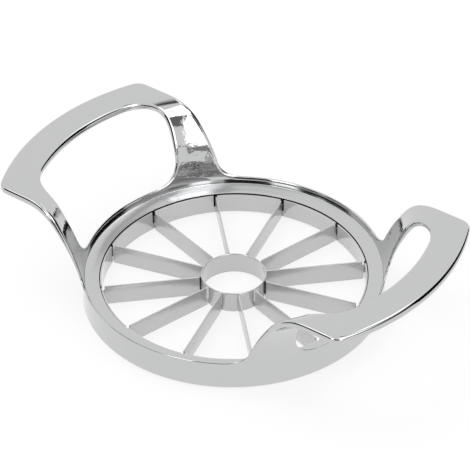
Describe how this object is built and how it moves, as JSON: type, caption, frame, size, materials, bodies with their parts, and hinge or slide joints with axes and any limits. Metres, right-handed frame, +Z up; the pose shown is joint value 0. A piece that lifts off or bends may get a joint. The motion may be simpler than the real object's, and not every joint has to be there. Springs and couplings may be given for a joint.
{
  "type": "apple slicer",
  "caption": "Hand press apple slicer: a cast chrome ring with two raised loop handles round an insert of radial steel blades and a round core cutter.",
  "frame": {"origin": "the ring's axis at the underside on which the slicer rests", "axes": "+Z up along the ring's axis, +X towards one handle and -X towards the other"},
  "size_m": [0.1744, 0.1132, 0.0409],
  "materials": {
    "chrome_plate": "bright chrome plate on a polished zinc casting",
    "hoop_steel": "plain rolled stainless strip",
    "core_steel": "plain drawn stainless tube",
    "blade_steel": "rolled stainless blade strip with a ground lower edge"
  },
  "bodies": {
    "root": {"frame_casting": "chrome_plate", "blade_hoop": "hoop_steel", "core_tube": "core_steel", "blade_01": "blade_steel", "blade_02": "blade_steel", "blade_03": "blade_steel", "blade_04": "blade_steel", "blade_05": "blade_steel", "blade_06": "blade_steel", "blade_07": "blade_steel", "blade_08": "blade_steel", "blade_09": "blade_steel", "blade_10": "blade_steel", "blade_11": "blade_steel", "blade_12": "blade_steel"}
  },
  "joints": []
}
